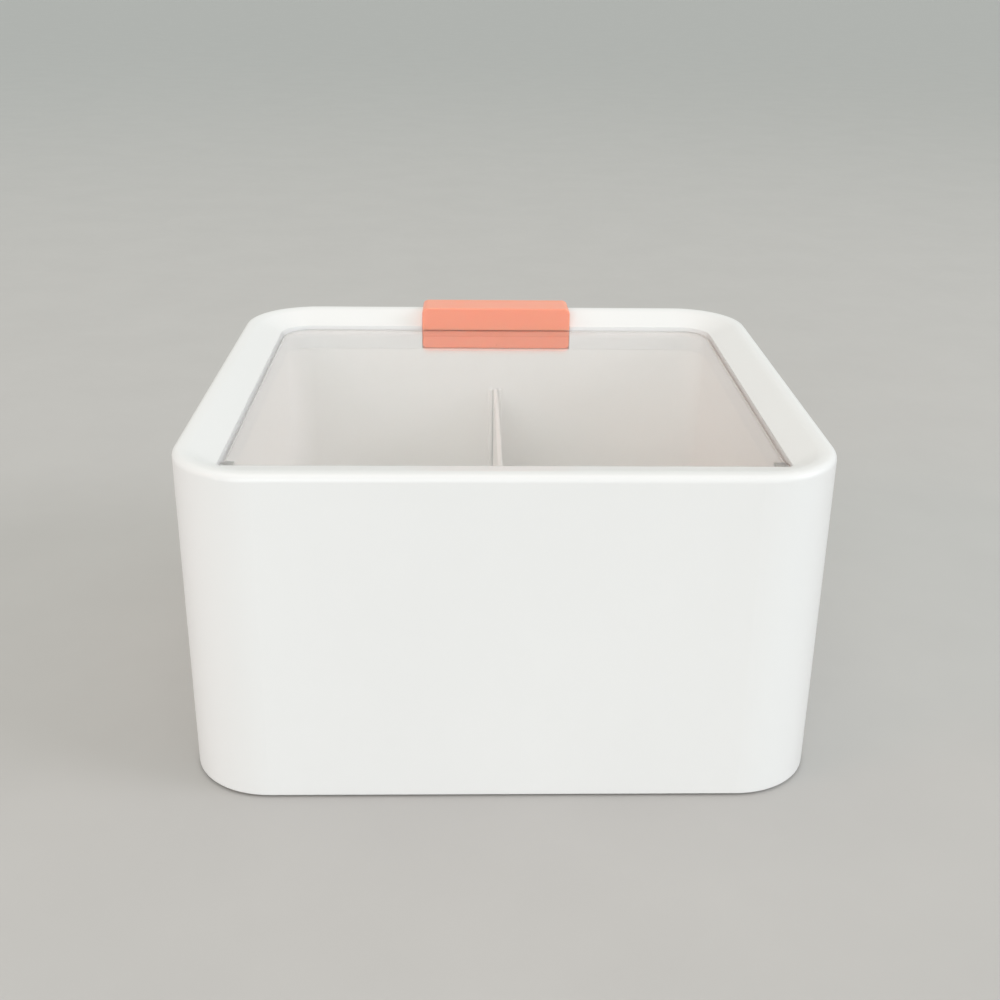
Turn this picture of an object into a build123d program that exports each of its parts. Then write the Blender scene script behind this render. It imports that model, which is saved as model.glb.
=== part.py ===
from build123d import *
import os

# A free-standing box for cotton pads: two lidded bays on top, a drawer underneath.
# Millimetres. X to the right, Y from the hinge side to the drawer side, Z up.
# The origin is on the table, at the middle of the whole footprint.

# ---------------------------------------------------------------- driving sizes
# case
width = 150.0
depth = 144.0
height = 81.7
wall = 2.2
corner_radius = 19.8
top_edge_radius = 1.6
foot_proud = 0.6

# dished rim round the lid
crest_inset = 3.2
crest_rounding = 5.0
rim_side = 10.2
rim_front = 11.3
rim_back = 14.9
rim_drop = 3.5
opening_front_radius = 8.5
opening_back_radius = 1.2
ledge = 1.2
deck_thickness = 5.4

# clear lid and its hinge
lid_thickness = 1.8
lid_sink = 0.7
lid_gap = 0.35
lid_back_gap = 0.5
lid_seat_gap = 0.2
lid_back_rounding = 1.2
hinge_set_in = 3.4
hinge_below_top = 1.9
ear_width = 2.8
hinge_pin_radius = 1.0
hinge_pin_length = 2.6
hinge_running_gap = 0.05
hinge_end_gap = 0.35
hinge_trough_gap = 0.8

# grip on the lid's front edge
grip_width = 44.8
grip_set_back = 1.6
grip_top_rise = 2.6
grip_tip_fall = 1.0
grip_overhang = 2.0
grip_gap = 0.3
grip_wall = 3.2
grip_front_gap = 0.5
grip_jaw_height = 5.1
grip_corner_radius = 1.5
grip_shoulder_radius = 1.6
grip_edge_radius = 0.5
grip_side_cover = 0.5
grip_nose_cover = 0.6
peg_radius = 1.3
peg_spread = 28.0
peg_length = 4.6
peg_gap = 0.05

# lift-in liner of the bays, and the partition between them
bay_floor_z = 30.0
tray_wall = 1.6
tray_floor = 1.8
tray_flange = 1.8
tray_gap = 0.3
bay_front_radius = opening_front_radius - ledge
bay_back_radius = 3.0
bay_floor_fillet = 2.5
divider_thickness = 1.3
divider_height = 27.4
divider_end_gap = 0.3
divider_corner_radius = 1.0
guide_rib = 1.2
guide_gap = 0.2

# bottom cover, its screws and feet
base_thickness = 2.0
base_gap = 0.2
boss_radius = 3.5
boss_overlap = 0.6
boss_height = 20.0
screw_radius = 1.2
screw_head_radius = 2.5
screw_head_height = 1.3
screw_length = 11.0
screw_gap = 0.05
screw_hole_gap = 0.3
foot_radius = 6.0
foot_recess = 1.0
foot_edge_chamfer = 0.5

# drawer
drawer_opening_width = 104.0
drawer_opening_height = 24.4
drawer_opening_radius = 2.0
drawer_front_gap = 0.4
drawer_front_thickness = 2.4
drawer_travel = 95.0
drawer_wall = 1.6
drawer_height = 22.0
drawer_lift = 0.3
drawer_back_gap = 1.5
drawer_side_gap = 0.4
drawer_corner_radius = 3.0
stop_length = 6.0
stop_catch = 1.2
stop_gap = 0.3
runner_width = 3.0
runner_height = 7.0
runner_end_gap = 1.0
runner_edge_radius = 0.8

# pull on the drawer front
pull_out = 5.6
pull_height = 10.0
pull_nose_height = 4.0
pull_scoop = 1.6
pull_screw_spread = 28.0
pull_screw_head_radius = 2.2
pull_screw_head_height = 1.4
pull_screw_rise = 1.6
pull_screw_length = 6.8

# ---------------------------------------------------------------- places
back_y = -(depth + pull_out) / 2
front_y = back_y + depth
middle_y = (back_y + front_y) / 2
front_inner_y = front_y - wall
back_inner_y = back_y + wall
corner_x = width / 2 - corner_radius
corner_y = depth / 2 - corner_radius
inner_corner_radius = corner_radius - wall

opening_half = width / 2 - rim_side
opening_front_y = front_y - rim_front
opening_back_y = back_y + rim_back
rim_edge_z = height - rim_drop
lid_top_z = rim_edge_z - lid_sink
lid_under_z = lid_top_z - lid_thickness
ledge_z = lid_under_z - lid_seat_gap
deck_under_z = ledge_z - deck_thickness

hinge_y = opening_back_y + lid_back_gap + hinge_set_in
hinge_z = lid_top_z - hinge_below_top
ear_radius = hinge_below_top
trough_front_y = hinge_y + ear_radius + hinge_trough_gap
lid_half = opening_half - lid_gap

grip_back_y = opening_front_y - grip_set_back
notch_front_y = front_y - grip_wall
grip_front_y = notch_front_y - grip_front_gap
notch_half = grip_width / 2 + grip_gap
jaw_under_z = lid_under_z - grip_jaw_height
peg_y = (grip_back_y + grip_front_y) / 2

bay_half = opening_half - ledge
bay_front_y = opening_front_y - ledge
bay_back_y = opening_back_y + ledge
bay_under_z = bay_floor_z - tray_floor
divider_top_z = bay_floor_z + divider_height

base_top_z = foot_proud + base_thickness
boss_reach = (inner_corner_radius - boss_radius + boss_overlap) * 0.5**0.5
boss_x = corner_x + boss_reach
boss_y = corner_y + boss_reach
boss_spots = [(sx * boss_x, middle_y + sy * boss_y) for sx in (-1, 1) for sy in (-1, 1)]

drawer_sill_z = base_top_z
drawer_lintel_z = drawer_sill_z + drawer_opening_height
drawer_middle_z = (drawer_sill_z + drawer_lintel_z) / 2
drawer_under_z = base_top_z + drawer_lift
drawer_rim_z = drawer_under_z + drawer_height
drawer_half = drawer_opening_width / 2 - runner_width / 2 - drawer_side_gap
drawer_nose_y = front_y - drawer_front_thickness
drawer_tail_y = back_inner_y + drawer_back_gap
drawer_middle_y = (drawer_nose_y + drawer_tail_y) / 2
stop_front_y = front_inner_y - drawer_travel - stop_gap
runner_inner_x = drawer_half + drawer_side_gap
runner_middle_y = (front_inner_y + back_inner_y) / 2
runner_length = front_inner_y - back_inner_y - 2 * runner_end_gap
pull_spots = [-pull_screw_spread / 2, pull_screw_spread / 2]
pull_screw_z = drawer_middle_z + pull_screw_rise

os.makedirs("parts", exist_ok=True)


def case_outline(inset):
    """Plan of the case, drawn in by inset all round."""
    with Locations((0, middle_y)):
        RectangleRounded(width - 2 * inset, depth - 2 * inset, corner_radius - inset)


def cornered_outline(half, back, front, back_radius, front_radius):
    """Rectangle from back to front with its own corner radius at each end."""
    with Locations((0, (back + front) / 2)):
        Rectangle(2 * half, front - back)
    fillet(vertices().group_by(Axis.Y)[-1], front_radius)
    fillet(vertices().group_by(Axis.Y)[0], back_radius)


def opening_outline():
    """Edge of the lid opening, where the dished rim ends."""
    cornered_outline(
        opening_half, opening_back_y, opening_front_y, opening_back_radius, opening_front_radius
    )


def bay_outline(grow=0.0):
    """Plan of the well that the two bays share, grown outwards by grow."""
    cornered_outline(
        bay_half + grow,
        bay_back_y - grow,
        bay_front_y + grow,
        bay_back_radius + grow,
        bay_front_radius + grow,
    )


# ---------------------------------------------------------------- outer_shell
# One moulding: straight walls with large corners, a rim that dips towards the lid,
# a ledge under the lid, hinge sockets and the drawer's opening.
with BuildPart() as outer_shell:
    with BuildSketch(Plane.XY.offset(foot_proud)):
        case_outline(0)
    extrude(amount=height - foot_proud)
    fillet(outer_shell.faces().sort_by(Axis.Z)[-1].edges(), radius=top_edge_radius)

    with BuildSketch(Plane.XY.offset(foot_proud)):
        case_outline(wall)
    extrude(amount=deck_under_z - foot_proud, mode=Mode.SUBTRACT)

    # the rim's dished top
    with BuildSketch(Plane.XY.offset(rim_edge_z)):
        opening_outline()
    with BuildSketch(Plane.XY.offset(height)):
        case_outline(crest_inset)
    loft(ruled=True, mode=Mode.SUBTRACT)
    crest_face = outer_shell.faces().filter_by(Plane.XY).sort_by(Axis.Z)[-1]
    fillet(crest_face.inner_wires().edges(), radius=crest_rounding)

    # seat of the lid, then the way down into the bays
    with BuildSketch(Plane.XY.offset(ledge_z)):
        opening_outline()
    extrude(amount=rim_edge_z - ledge_z, mode=Mode.SUBTRACT)
    with BuildSketch(Plane.XY.offset(deck_under_z)):
        bay_outline()
    extrude(amount=deck_thickness, mode=Mode.SUBTRACT)

    # trough in which the lid's back edge turns
    with BuildSketch(Plane.XY.offset(deck_under_z)):
        with Locations((0, (opening_back_y + trough_front_y) / 2)):
            Rectangle(2 * opening_half, trough_front_y - opening_back_y)
    extrude(amount=deck_thickness, mode=Mode.SUBTRACT)

    # notch for the grip, open to the bays
    with BuildSketch(Plane.XY.offset(deck_under_z)):
        with Locations((0, (bay_front_y + notch_front_y) / 2)):
            Rectangle(2 * notch_half, notch_front_y - bay_front_y)
    extrude(amount=height - deck_under_z, mode=Mode.SUBTRACT)

    # hinge sockets, one in each side of the opening
    for side in (-1, 1):
        socket_depth = lid_half + hinge_pin_length + hinge_end_gap - opening_half
        with BuildSketch(Plane.YZ.offset(side * opening_half)):
            with Locations((hinge_y, hinge_z)):
                Circle(hinge_pin_radius + hinge_running_gap)
        extrude(amount=side * socket_depth, mode=Mode.SUBTRACT)

    # drawer opening in the front wall
    with BuildSketch(Plane.XZ.offset(-front_y)):
        with Locations((0, drawer_middle_z)):
            RectangleRounded(drawer_opening_width, drawer_opening_height, drawer_opening_radius)
    extrude(amount=wall, mode=Mode.SUBTRACT)

    # screw bosses, joined to the walls in the corners
    with BuildSketch(Plane.XY.offset(base_top_z)):
        with Locations(*boss_spots):
            Circle(boss_radius)
    extrude(amount=boss_height)
    with BuildSketch(Plane.XY.offset(base_top_z)):
        with Locations(*boss_spots):
            Circle(screw_radius + screw_gap)
    extrude(amount=screw_length, mode=Mode.SUBTRACT)
outer_shell.part.label = "outer_shell"
export_step(outer_shell.part, "parts/outer_shell.step")

# ---------------------------------------------------------------- compartment_tray
# The bays' liner hangs from a flange under the deck of the shell.
with BuildPart() as compartment_tray:
    with BuildSketch(Plane.XY.offset(deck_under_z - tray_flange)):
        case_outline(wall + tray_gap)
    extrude(amount=tray_flange)
    with BuildSketch(Plane.XY.offset(bay_under_z)):
        bay_outline(tray_wall)
    extrude(amount=deck_under_z - bay_under_z)
    with BuildSketch(Plane.XY.offset(bay_floor_z)):
        bay_outline()
    extrude(amount=deck_under_z - bay_floor_z, mode=Mode.SUBTRACT)
    floor_face = compartment_tray.faces().filter_by(Plane.XY).filter_by(
        lambda face: abs(face.center().Z - bay_floor_z) < tray_gap
    )
    fillet(floor_face.edges(), radius=bay_floor_fillet)

    # two guide ribs at each end hold the partition upright
    rib_x = divider_thickness / 2 + guide_gap + guide_rib / 2
    with BuildSketch(Plane.XY.offset(bay_floor_z)):
        with Locations(
            *[(side * rib_x, bay_back_y + guide_rib / 2) for side in (-1, 1)],
            *[(side * rib_x, bay_front_y - guide_rib / 2) for side in (-1, 1)],
        ):
            Rectangle(guide_rib, guide_rib)
    extrude(amount=divider_height)
compartment_tray.part.label = "compartment_tray"
export_step(compartment_tray.part, "parts/compartment_tray.step")

# ---------------------------------------------------------------- divider
with BuildPart() as divider:
    with BuildSketch(Plane.YZ.offset(-divider_thickness / 2)):
        with Locations(((bay_back_y + bay_front_y) / 2, (bay_floor_z + divider_top_z) / 2)):
            Rectangle(bay_front_y - bay_back_y - 2 * divider_end_gap, divider_height)
        fillet(vertices().group_by(Axis.Y)[0], bay_floor_fillet)
        fillet(vertices().group_by(Axis.Y)[-1], divider_corner_radius)
    extrude(amount=divider_thickness)
divider.part.label = "divider"
export_step(divider.part, "parts/divider.step")

# ---------------------------------------------------------------- base_plate
with BuildPart() as base_plate:
    with BuildSketch(Plane.XY.offset(foot_proud)):
        case_outline(wall + base_gap)
    extrude(amount=base_thickness)
    with BuildSketch(Plane.XY.offset(foot_proud)):
        with Locations((0, middle_y)):
            with GridLocations(2 * corner_x, 2 * corner_y, 2, 2):
                Circle(foot_radius)
    extrude(amount=foot_recess, mode=Mode.SUBTRACT)
    with Locations(*[(x, y, foot_proud) for x, y in boss_spots]):
        Cylinder(
            screw_radius + screw_hole_gap,
            base_thickness,
            align=(Align.CENTER, Align.CENTER, Align.MIN),
            mode=Mode.SUBTRACT,
        )
        Cone(
            screw_head_radius + screw_gap,
            screw_radius + screw_gap,
            screw_head_height,
            align=(Align.CENTER, Align.CENTER, Align.MIN),
            mode=Mode.SUBTRACT,
        )
base_plate.part.label = "base_plate"
export_step(base_plate.part, "parts/base_plate.step")

# ---------------------------------------------------------------- base_screws
# Four countersunk screws, flush with the underside.
with BuildPart() as base_screws:
    with Locations(*[(x, y, foot_proud) for x, y in boss_spots]):
        Cone(
            screw_head_radius,
            screw_radius,
            screw_head_height,
            align=(Align.CENTER, Align.CENTER, Align.MIN),
        )
        Cylinder(screw_radius, screw_length, align=(Align.CENTER, Align.CENTER, Align.MIN))
base_screws.part.label = "base_screws"
export_step(base_screws.part, "parts/base_screws.step")

# ---------------------------------------------------------------- feet
foot_spots = {
    "foot_back_left": (-corner_x, middle_y - corner_y),
    "foot_back_right": (corner_x, middle_y - corner_y),
    "foot_front_left": (-corner_x, middle_y + corner_y),
    "foot_front_right": (corner_x, middle_y + corner_y),
}
for foot_name, foot_spot in foot_spots.items():
    with BuildPart() as foot:
        with BuildSketch():
            with Locations(foot_spot):
                Circle(foot_radius - base_gap)
        extrude(amount=foot_proud + foot_recess)
        chamfer(foot.faces().sort_by(Axis.Z)[0].edges(), length=foot_edge_chamfer)
    foot.part.label = foot_name
    export_step(foot.part, f"parts/{foot_name}.step")

# ---------------------------------------------------------------- drawer runners
for side, runner_name in ((-1, "runner_left"), (1, "runner_right")):
    with BuildPart() as runner:
        with BuildSketch(Plane.XY.offset(base_top_z)):
            with Locations((side * (runner_inner_x + runner_width / 2), runner_middle_y)):
                Rectangle(runner_width, runner_length)
        extrude(amount=runner_height)
        fillet(runner.edges().filter_by(Axis.Y).group_by(Axis.Z)[-1], radius=runner_edge_radius)
    runner.part.label = runner_name
    export_step(runner.part, f"parts/{runner_name}.step")

# ---------------------------------------------------------------- lid_panel
# A clear plate with a tongue for the grip and, at the back corners, ears with stub pins.
with BuildPart() as lid_panel:
    with BuildSketch(Plane.XY.offset(lid_under_z)):
        cornered_outline(
            lid_half,
            opening_back_y + lid_back_gap,
            opening_front_y - lid_gap,
            opening_back_radius,
            opening_front_radius - lid_gap,
        )
        with Locations((0, (opening_back_y + grip_front_y) / 2)):
            Rectangle(
                grip_width - 2 * grip_side_cover,
                grip_front_y - 2 * grip_nose_cover - opening_back_y,
            )
    extrude(amount=lid_thickness)
    back_edge = lid_panel.edges().filter_by(Axis.X).group_by(Axis.Y)[0].sort_by(Axis.Z)[-1]
    fillet(back_edge, radius=lid_back_rounding)
    for side in (-1, 1):
        with BuildSketch(Plane.YZ.offset(side * lid_half)):
            with Locations((hinge_y, hinge_z)):
                Circle(ear_radius)
        extrude(amount=-side * ear_width)
        with BuildSketch(Plane.YZ.offset(side * lid_half)):
            with Locations((hinge_y, hinge_z)):
                Circle(hinge_pin_radius)
        extrude(amount=side * hinge_pin_length)
    with BuildSketch(Plane.XY.offset(lid_under_z)):
        with Locations((-peg_spread / 2, peg_y), (peg_spread / 2, peg_y)):
            Circle(peg_radius + peg_gap)
    extrude(amount=lid_thickness, mode=Mode.SUBTRACT)
lid_panel.part.label = "lid_panel"
export_step(lid_panel.part, "parts/lid_panel.step")

# ---------------------------------------------------------------- lid_grip_cap
# The upper half of the grip reaches over the front wall, so that a finger can lift it.
with BuildPart() as lid_grip_cap:
    with BuildSketch(Plane.YZ.offset(-grip_width / 2)):
        with BuildLine():
            Polyline(
                (grip_back_y, lid_top_z),
                (grip_back_y, height + grip_top_rise),
                (front_y + grip_overhang, height + grip_top_rise - grip_tip_fall),
                (front_y + grip_overhang, height + grip_gap),
                (grip_front_y, height + grip_gap),
                (grip_front_y, lid_top_z),
                close=True,
            )
        make_face()
    extrude(amount=grip_width)
    shoulder_edges = lid_grip_cap.faces().sort_by(Axis.Z)[-1].edges().sort_by(Axis.X)
    fillet([shoulder_edges[0], shoulder_edges[-1]], radius=grip_shoulder_radius)
    rim_edges = lid_grip_cap.faces().sort_by(Axis.Y)[0].edges().sort_by(Axis.Z)[1:]
    fillet(rim_edges, radius=grip_edge_radius)
    with BuildSketch(Plane.XY.offset(lid_top_z)):
        with Locations((-peg_spread / 2, peg_y), (peg_spread / 2, peg_y)):
            Circle(peg_radius)
    extrude(amount=-peg_length)
lid_grip_cap.part.label = "lid_grip_cap"
export_step(lid_grip_cap.part, "parts/lid_grip_cap.step")

# ---------------------------------------------------------------- lid_grip_jaw
# The lower half clamps the plate from below, on the cap's two pegs.
with BuildPart() as lid_grip_jaw:
    with BuildSketch(Plane.XY.offset(jaw_under_z)):
        with Locations((0, (grip_back_y + grip_front_y) / 2)):
            Rectangle(grip_width, grip_front_y - grip_back_y)
        fillet(vertices().group_by(Axis.Y)[0], grip_corner_radius)
    extrude(amount=grip_jaw_height)
    fillet(lid_grip_jaw.faces().sort_by(Axis.Z)[0].edges(), radius=grip_edge_radius)
    with BuildSketch(Plane.XY.offset(lid_under_z)):
        with Locations((-peg_spread / 2, peg_y), (peg_spread / 2, peg_y)):
            Circle(peg_radius + peg_gap)
    extrude(amount=lid_thickness - peg_length - peg_gap, mode=Mode.SUBTRACT)
lid_grip_jaw.part.label = "lid_grip_jaw"
export_step(lid_grip_jaw.part, "parts/lid_grip_jaw.step")

# ---------------------------------------------------------------- drawer_tray
with BuildPart() as drawer_tray:
    with BuildSketch(Plane.XY.offset(drawer_under_z)):
        with Locations((0, drawer_middle_y)):
            RectangleRounded(2 * drawer_half, drawer_nose_y - drawer_tail_y, drawer_corner_radius)
    extrude(amount=drawer_height)
    with BuildSketch(Plane.XY.offset(drawer_under_z + drawer_wall)):
        with Locations((0, drawer_middle_y)):
            RectangleRounded(
                2 * (drawer_half - drawer_wall),
                drawer_nose_y - drawer_tail_y - 2 * drawer_wall,
                drawer_corner_radius - drawer_wall,
            )
    extrude(amount=drawer_height - drawer_wall, mode=Mode.SUBTRACT)

    # a catch on each side wall meets the lintel when the drawer is fully out
    for side in (-1, 1):
        with BuildSketch(Plane.YZ.offset(side * drawer_half)):
            with BuildLine():
                Polyline(
                    (stop_front_y, drawer_rim_z),
                    (stop_front_y, drawer_lintel_z + stop_catch),
                    (stop_front_y - stop_length / 2, drawer_lintel_z + stop_catch),
                    (stop_front_y - stop_length, drawer_rim_z),
                    close=True,
                )
            make_face()
        extrude(amount=-side * drawer_wall)

    # screw holes for the pull
    with BuildSketch(Plane.XZ.offset(-drawer_nose_y)):
        with Locations(*[(x, pull_screw_z) for x in pull_spots]):
            Circle(screw_radius + screw_hole_gap)
    extrude(amount=drawer_wall, mode=Mode.SUBTRACT)
drawer_tray.part.label = "drawer_tray"
export_step(drawer_tray.part, "parts/drawer_tray.step")

# ---------------------------------------------------------------- drawer_front
with BuildPart() as drawer_front:
    with BuildSketch(Plane.XZ.offset(-front_y)):
        with Locations((0, drawer_middle_z)):
            RectangleRounded(
                drawer_opening_width - 2 * drawer_front_gap,
                drawer_opening_height - 2 * drawer_front_gap,
                drawer_opening_radius - drawer_front_gap,
            )
    extrude(amount=drawer_front_thickness)
    with BuildSketch(Plane.XZ.offset(-front_y)):
        with Locations(*[(x, pull_screw_z) for x in pull_spots]):
            Circle(screw_radius + screw_hole_gap)
    extrude(amount=drawer_front_thickness, mode=Mode.SUBTRACT)
drawer_front.part.label = "drawer_front"
export_step(drawer_front.part, "parts/drawer_front.step")

# ---------------------------------------------------------------- drawer_pull
# A small shelf with a scooped underside, as wide as the lid's grip.
pull_under_z = drawer_middle_z - pull_height / 2
pull_top_z = drawer_middle_z + pull_height / 2
with BuildPart() as drawer_pull:
    with BuildSketch(Plane.YZ.offset(-grip_width / 2)):
        with BuildLine():
            Polyline(
                (front_y, pull_under_z),
                (front_y, pull_top_z),
                (front_y + pull_out, pull_top_z - grip_tip_fall),
                (front_y + pull_out, pull_top_z - pull_nose_height),
            )
            SagittaArc(
                (front_y + pull_out, pull_top_z - pull_nose_height),
                (front_y, pull_under_z),
                -pull_scoop,
            )
        make_face()
    extrude(amount=grip_width)
    nose_edges = drawer_pull.edges().filter_by(Axis.Z).group_by(Axis.Y)[-1]
    fillet(nose_edges, radius=grip_corner_radius)
    fillet(drawer_pull.faces().sort_by(Axis.Z)[-1].edges().sort_by(Axis.Y)[1:], radius=grip_edge_radius)
    with BuildSketch(Plane.XZ.offset(-front_y)):
        with Locations(*[(x, pull_screw_z) for x in pull_spots]):
            Circle(screw_radius + screw_gap)
    pull_hole_depth = pull_screw_length - drawer_wall - drawer_front_thickness + screw_gap
    extrude(amount=-pull_hole_depth, mode=Mode.SUBTRACT)
drawer_pull.part.label = "drawer_pull"
export_step(drawer_pull.part, "parts/drawer_pull.step")

# ---------------------------------------------------------------- pull_screws
# Two pan-head screws from inside the drawer.
with BuildPart() as pull_screws:
    with BuildSketch(Plane.XZ.offset(drawer_wall - drawer_nose_y)):
        with Locations(*[(x, pull_screw_z) for x in pull_spots]):
            Circle(pull_screw_head_radius)
    extrude(amount=pull_screw_head_height)
    with BuildSketch(Plane.XZ.offset(drawer_wall - drawer_nose_y)):
        with Locations(*[(x, pull_screw_z) for x in pull_spots]):
            Circle(screw_radius)
    extrude(amount=-pull_screw_length)
pull_screws.part.label = "pull_screws"
export_step(pull_screws.part, "parts/pull_screws.step")
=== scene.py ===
"""Looks of a cotton pad holder with a clear lid and a drawer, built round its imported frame."""

import logging
import math
from collections.abc import Callable, Iterable
from dataclasses import dataclass
from enum import Enum

import bmesh
import bpy
from mathutils import Matrix, Vector


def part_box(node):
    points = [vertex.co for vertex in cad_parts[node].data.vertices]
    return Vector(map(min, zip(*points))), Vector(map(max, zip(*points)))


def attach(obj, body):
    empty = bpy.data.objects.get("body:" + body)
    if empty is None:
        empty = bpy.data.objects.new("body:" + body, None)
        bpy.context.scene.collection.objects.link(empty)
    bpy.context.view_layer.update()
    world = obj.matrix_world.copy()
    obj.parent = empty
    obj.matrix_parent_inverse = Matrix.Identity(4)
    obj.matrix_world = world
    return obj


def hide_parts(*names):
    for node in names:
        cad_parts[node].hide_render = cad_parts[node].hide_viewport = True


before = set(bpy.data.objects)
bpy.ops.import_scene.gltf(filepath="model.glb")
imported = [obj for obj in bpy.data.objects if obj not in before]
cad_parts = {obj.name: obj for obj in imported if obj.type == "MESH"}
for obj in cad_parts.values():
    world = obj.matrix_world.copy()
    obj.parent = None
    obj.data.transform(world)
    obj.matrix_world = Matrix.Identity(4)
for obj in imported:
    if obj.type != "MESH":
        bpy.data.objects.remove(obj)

MM = 0.001
LOG = logging.getLogger("pad_holder")

# Side of the square photograph in pixels.
PHOTO_SIDE_PX = 1000
# Points closer than this are merged.
MERGE_DISTANCE = 0.002 * MM
# Tolerance with which a face or an edge is found by its place.
TOUCH = 0.02 * MM
# Faces that meet at less than this angle are one flat face.
FLAT_ANGLE = math.radians(0.6)
# Edges whose faces turn by more than this are rounded.
CORNER_ANGLE = math.radians(38.0)
# Edges whose faces turn by more than this are shaded as sharp.
SHARP_ANGLE = math.radians(50.0)
# A face of a plate is one of its sides where its normal rises by less than this.
SIDE_LEAN = 0.9
# Most values of a noise lie between these two.
NOISE_LOW = 0.3
NOISE_HIGH = 0.7

Colour = tuple[float, float, float]
Shape = bmesh.types.BMesh
EdgeTest = Callable[[Vector, Vector], bool]


class Slot(Enum):
    """Material slots of the record, by what they cover."""

    CASE = "case_white"
    TRAY = "tray_white"
    CLEAR = "clear_plastic"
    CORAL = "coral_plastic"
    RUBBER = "foot_rubber"
    STEEL = "screw_steel"


class Body(Enum):
    """Moving bodies of the frame."""

    CASE = "case"
    LID = "lid"
    DRAWER = "drawer"


# ------------------------------------------------------------------ finishes
@dataclass(frozen=True)
class Grain:
    """Make of a noise in a piece's own coordinates.

    Attributes:
        cells: Noise cells per metre.
        octaves: Octaves of the noise.
        stretch: How much longer the cells are along Z than across.
    """

    cells: float
    octaves: float
    stretch: float = 1.0


class NodeSketch:
    """A material's node tree, filled in one short call per node."""

    def __init__(self, name: str) -> None:
        """Starts an empty material.

        Args:
            name: Name of the new material.
        """
        self.material = bpy.data.materials.new(name)
        self.material.use_nodes = True
        self.tree = self.material.node_tree
        self.tree.nodes.clear()

    def add(self, kind: str, **settings: object) -> bpy.types.Node:
        """Adds a node and sets it up.

        Args:
            kind: Blender's identifier of the node type.
            settings: Properties of the node, by name.

        Returns:
            The new node.
        """
        node = self.tree.nodes.new(kind)
        for key, value in settings.items():
            setattr(node, key, value)
        return node

    def join(self, start: bpy.types.NodeSocket, end: bpy.types.NodeSocket) -> None:
        """Links an output socket to an input socket."""
        self.tree.links.new(start, end)

    def noise(self, grain: Grain) -> bpy.types.NodeSocket:
        """Adds a noise.

        Args:
            grain: Make of the noise.

        Returns:
            The noise value, around 0.5.
        """
        place = self.add("ShaderNodeTexCoord")
        mapping = self.add("ShaderNodeMapping")
        mapping.inputs["Scale"].default_value = (1.0, 1.0, 1.0 / grain.stretch)
        noise = self.add("ShaderNodeTexNoise")
        noise.inputs["Scale"].default_value = grain.cells
        noise.inputs["Detail"].default_value = grain.octaves
        self.join(place.outputs["Object"], mapping.inputs["Vector"])
        self.join(mapping.outputs["Vector"], noise.inputs["Vector"])
        return noise.outputs["Fac"]

    def spread(self, value: bpy.types.NodeSocket, low: float, high: float) -> bpy.types.NodeSocket:
        """Maps a noise value onto a range.

        Args:
            value: Noise value.
            low: Result where the noise is NOISE_LOW or less.
            high: Result where the noise is NOISE_HIGH or more.

        Returns:
            The mapped value.
        """
        remap = self.add("ShaderNodeMapRange")
        remap.inputs["From Min"].default_value = NOISE_LOW
        remap.inputs["From Max"].default_value = NOISE_HIGH
        remap.inputs["To Min"].default_value = low
        remap.inputs["To Max"].default_value = high
        self.join(value, remap.inputs["Value"])
        return remap.outputs["Result"]

    def around(self, value: bpy.types.NodeSocket, mean: float, swing: float) -> bpy.types.NodeSocket:
        """Maps a noise value onto a range that reaches a swing to both sides of a mean."""
        return self.spread(value, mean - swing, mean + swing)

    def shaded(self, value: bpy.types.NodeSocket, colour: Colour, shade: float) -> bpy.types.NodeSocket:
        """Darkens a colour by a noise value.

        Args:
            value: Noise value.
            colour: Linear colour where the noise is high.
            shade: Share by which the colour is darker where the noise is low.

        Returns:
            The shaded colour.
        """
        dark = tuple(c * (1 - shade) for c in colour)
        blend = self.add("ShaderNodeMix", data_type="RGBA")
        blend.inputs["A"].default_value = (*dark, 1)
        blend.inputs["B"].default_value = (*colour, 1)
        self.join(self.spread(value, 0.0, 1.0), blend.inputs["Factor"])
        return blend.outputs["Result"]

    def open_to_lamps(self, shader: bpy.types.NodeSocket, tint: Colour) -> bpy.types.NodeSocket:
        """Lets the lamps' light straight through a shader.

        Args:
            shader: Closure that every other ray meets.
            tint: Linear colour that the lamps' light takes in passing.

        Returns:
            The combined closure.
        """
        lamp_way = self.add("ShaderNodeBsdfTransparent")
        lamp_way.inputs["Color"].default_value = (*tint, 1)
        path = self.add("ShaderNodeLightPath")
        choose = self.add("ShaderNodeMixShader")
        self.join(path.outputs["Is Shadow Ray"], choose.inputs["Fac"])
        self.join(shader, choose.inputs[1])
        self.join(lamp_way.outputs["BSDF"], choose.inputs[2])
        return choose.outputs["Shader"]

    def finish(self, shader: bpy.types.NodeSocket) -> bpy.types.Material:
        """Links the shader to the output.

        Args:
            shader: Closure that the surface shows.

        Returns:
            The finished node material.
        """
        out = self.add("ShaderNodeOutputMaterial")
        self.join(shader, out.inputs["Surface"])
        return self.material


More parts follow.
